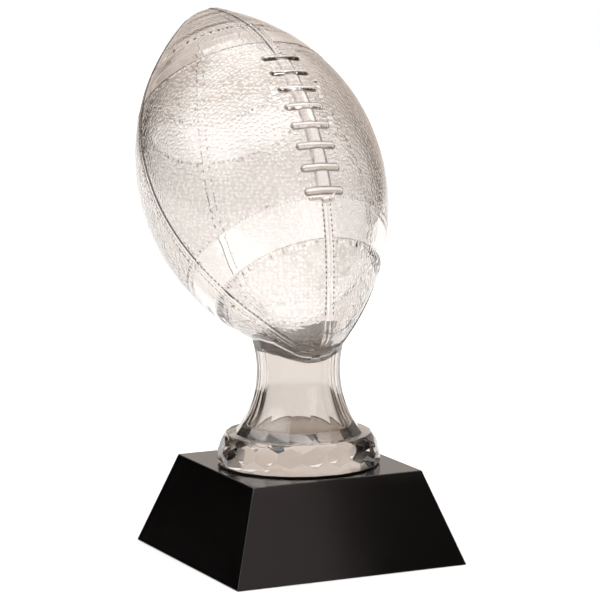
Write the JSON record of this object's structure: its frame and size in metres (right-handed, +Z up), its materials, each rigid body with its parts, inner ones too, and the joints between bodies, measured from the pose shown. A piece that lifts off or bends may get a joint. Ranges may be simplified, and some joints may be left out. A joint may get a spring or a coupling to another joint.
{
  "type": "football award",
  "caption": "Clear moulded glass football leaning back on a fluted glass stem and faceted foot, on a black lacquered base with sloping sides.",
  "frame": {"origin": "middle of the base's underside, on the surface it stands on", "axes": "+Z up; -Y is the front, where the laces are; +X to the right seen from the front"},
  "size_m": [0.1708, 0.248, 0.364],
  "materials": {
    "football_glass": "clear moulded glass with a pebbled skin, faintly warm",
    "pedestal_glass": "clear polished glass, fluted and faceted, faintly warm",
    "clear_bond": "clear cured adhesive",
    "black_pad": "matte black pad",
    "black_lacquer": "polished black lacquer over fibreboard",
    "raw_wood": "sawn softwood",
    "raw_board": "raw fibreboard",
    "zinc_steel": "bright zinc plate",
    "black_felt": "short-pile black felt"
  },
  "bodies": {
    "root": {"glass_football": "football_glass", "football_bond": "clear_bond", "glass_stem": "pedestal_glass", "stem_bond": "clear_bond", "glass_foot": "pedestal_glass", "foot_pad": "black_pad", "base_top": "black_lacquer", "base_front": "black_lacquer", "base_right": "black_lacquer", "base_back": "black_lacquer", "base_left": "black_lacquer", "corner_blocks": "raw_wood", "base_floor": "raw_board", "floor_screws": "zinc_steel", "felt_sheet": "black_felt"}
  },
  "joints": []
}
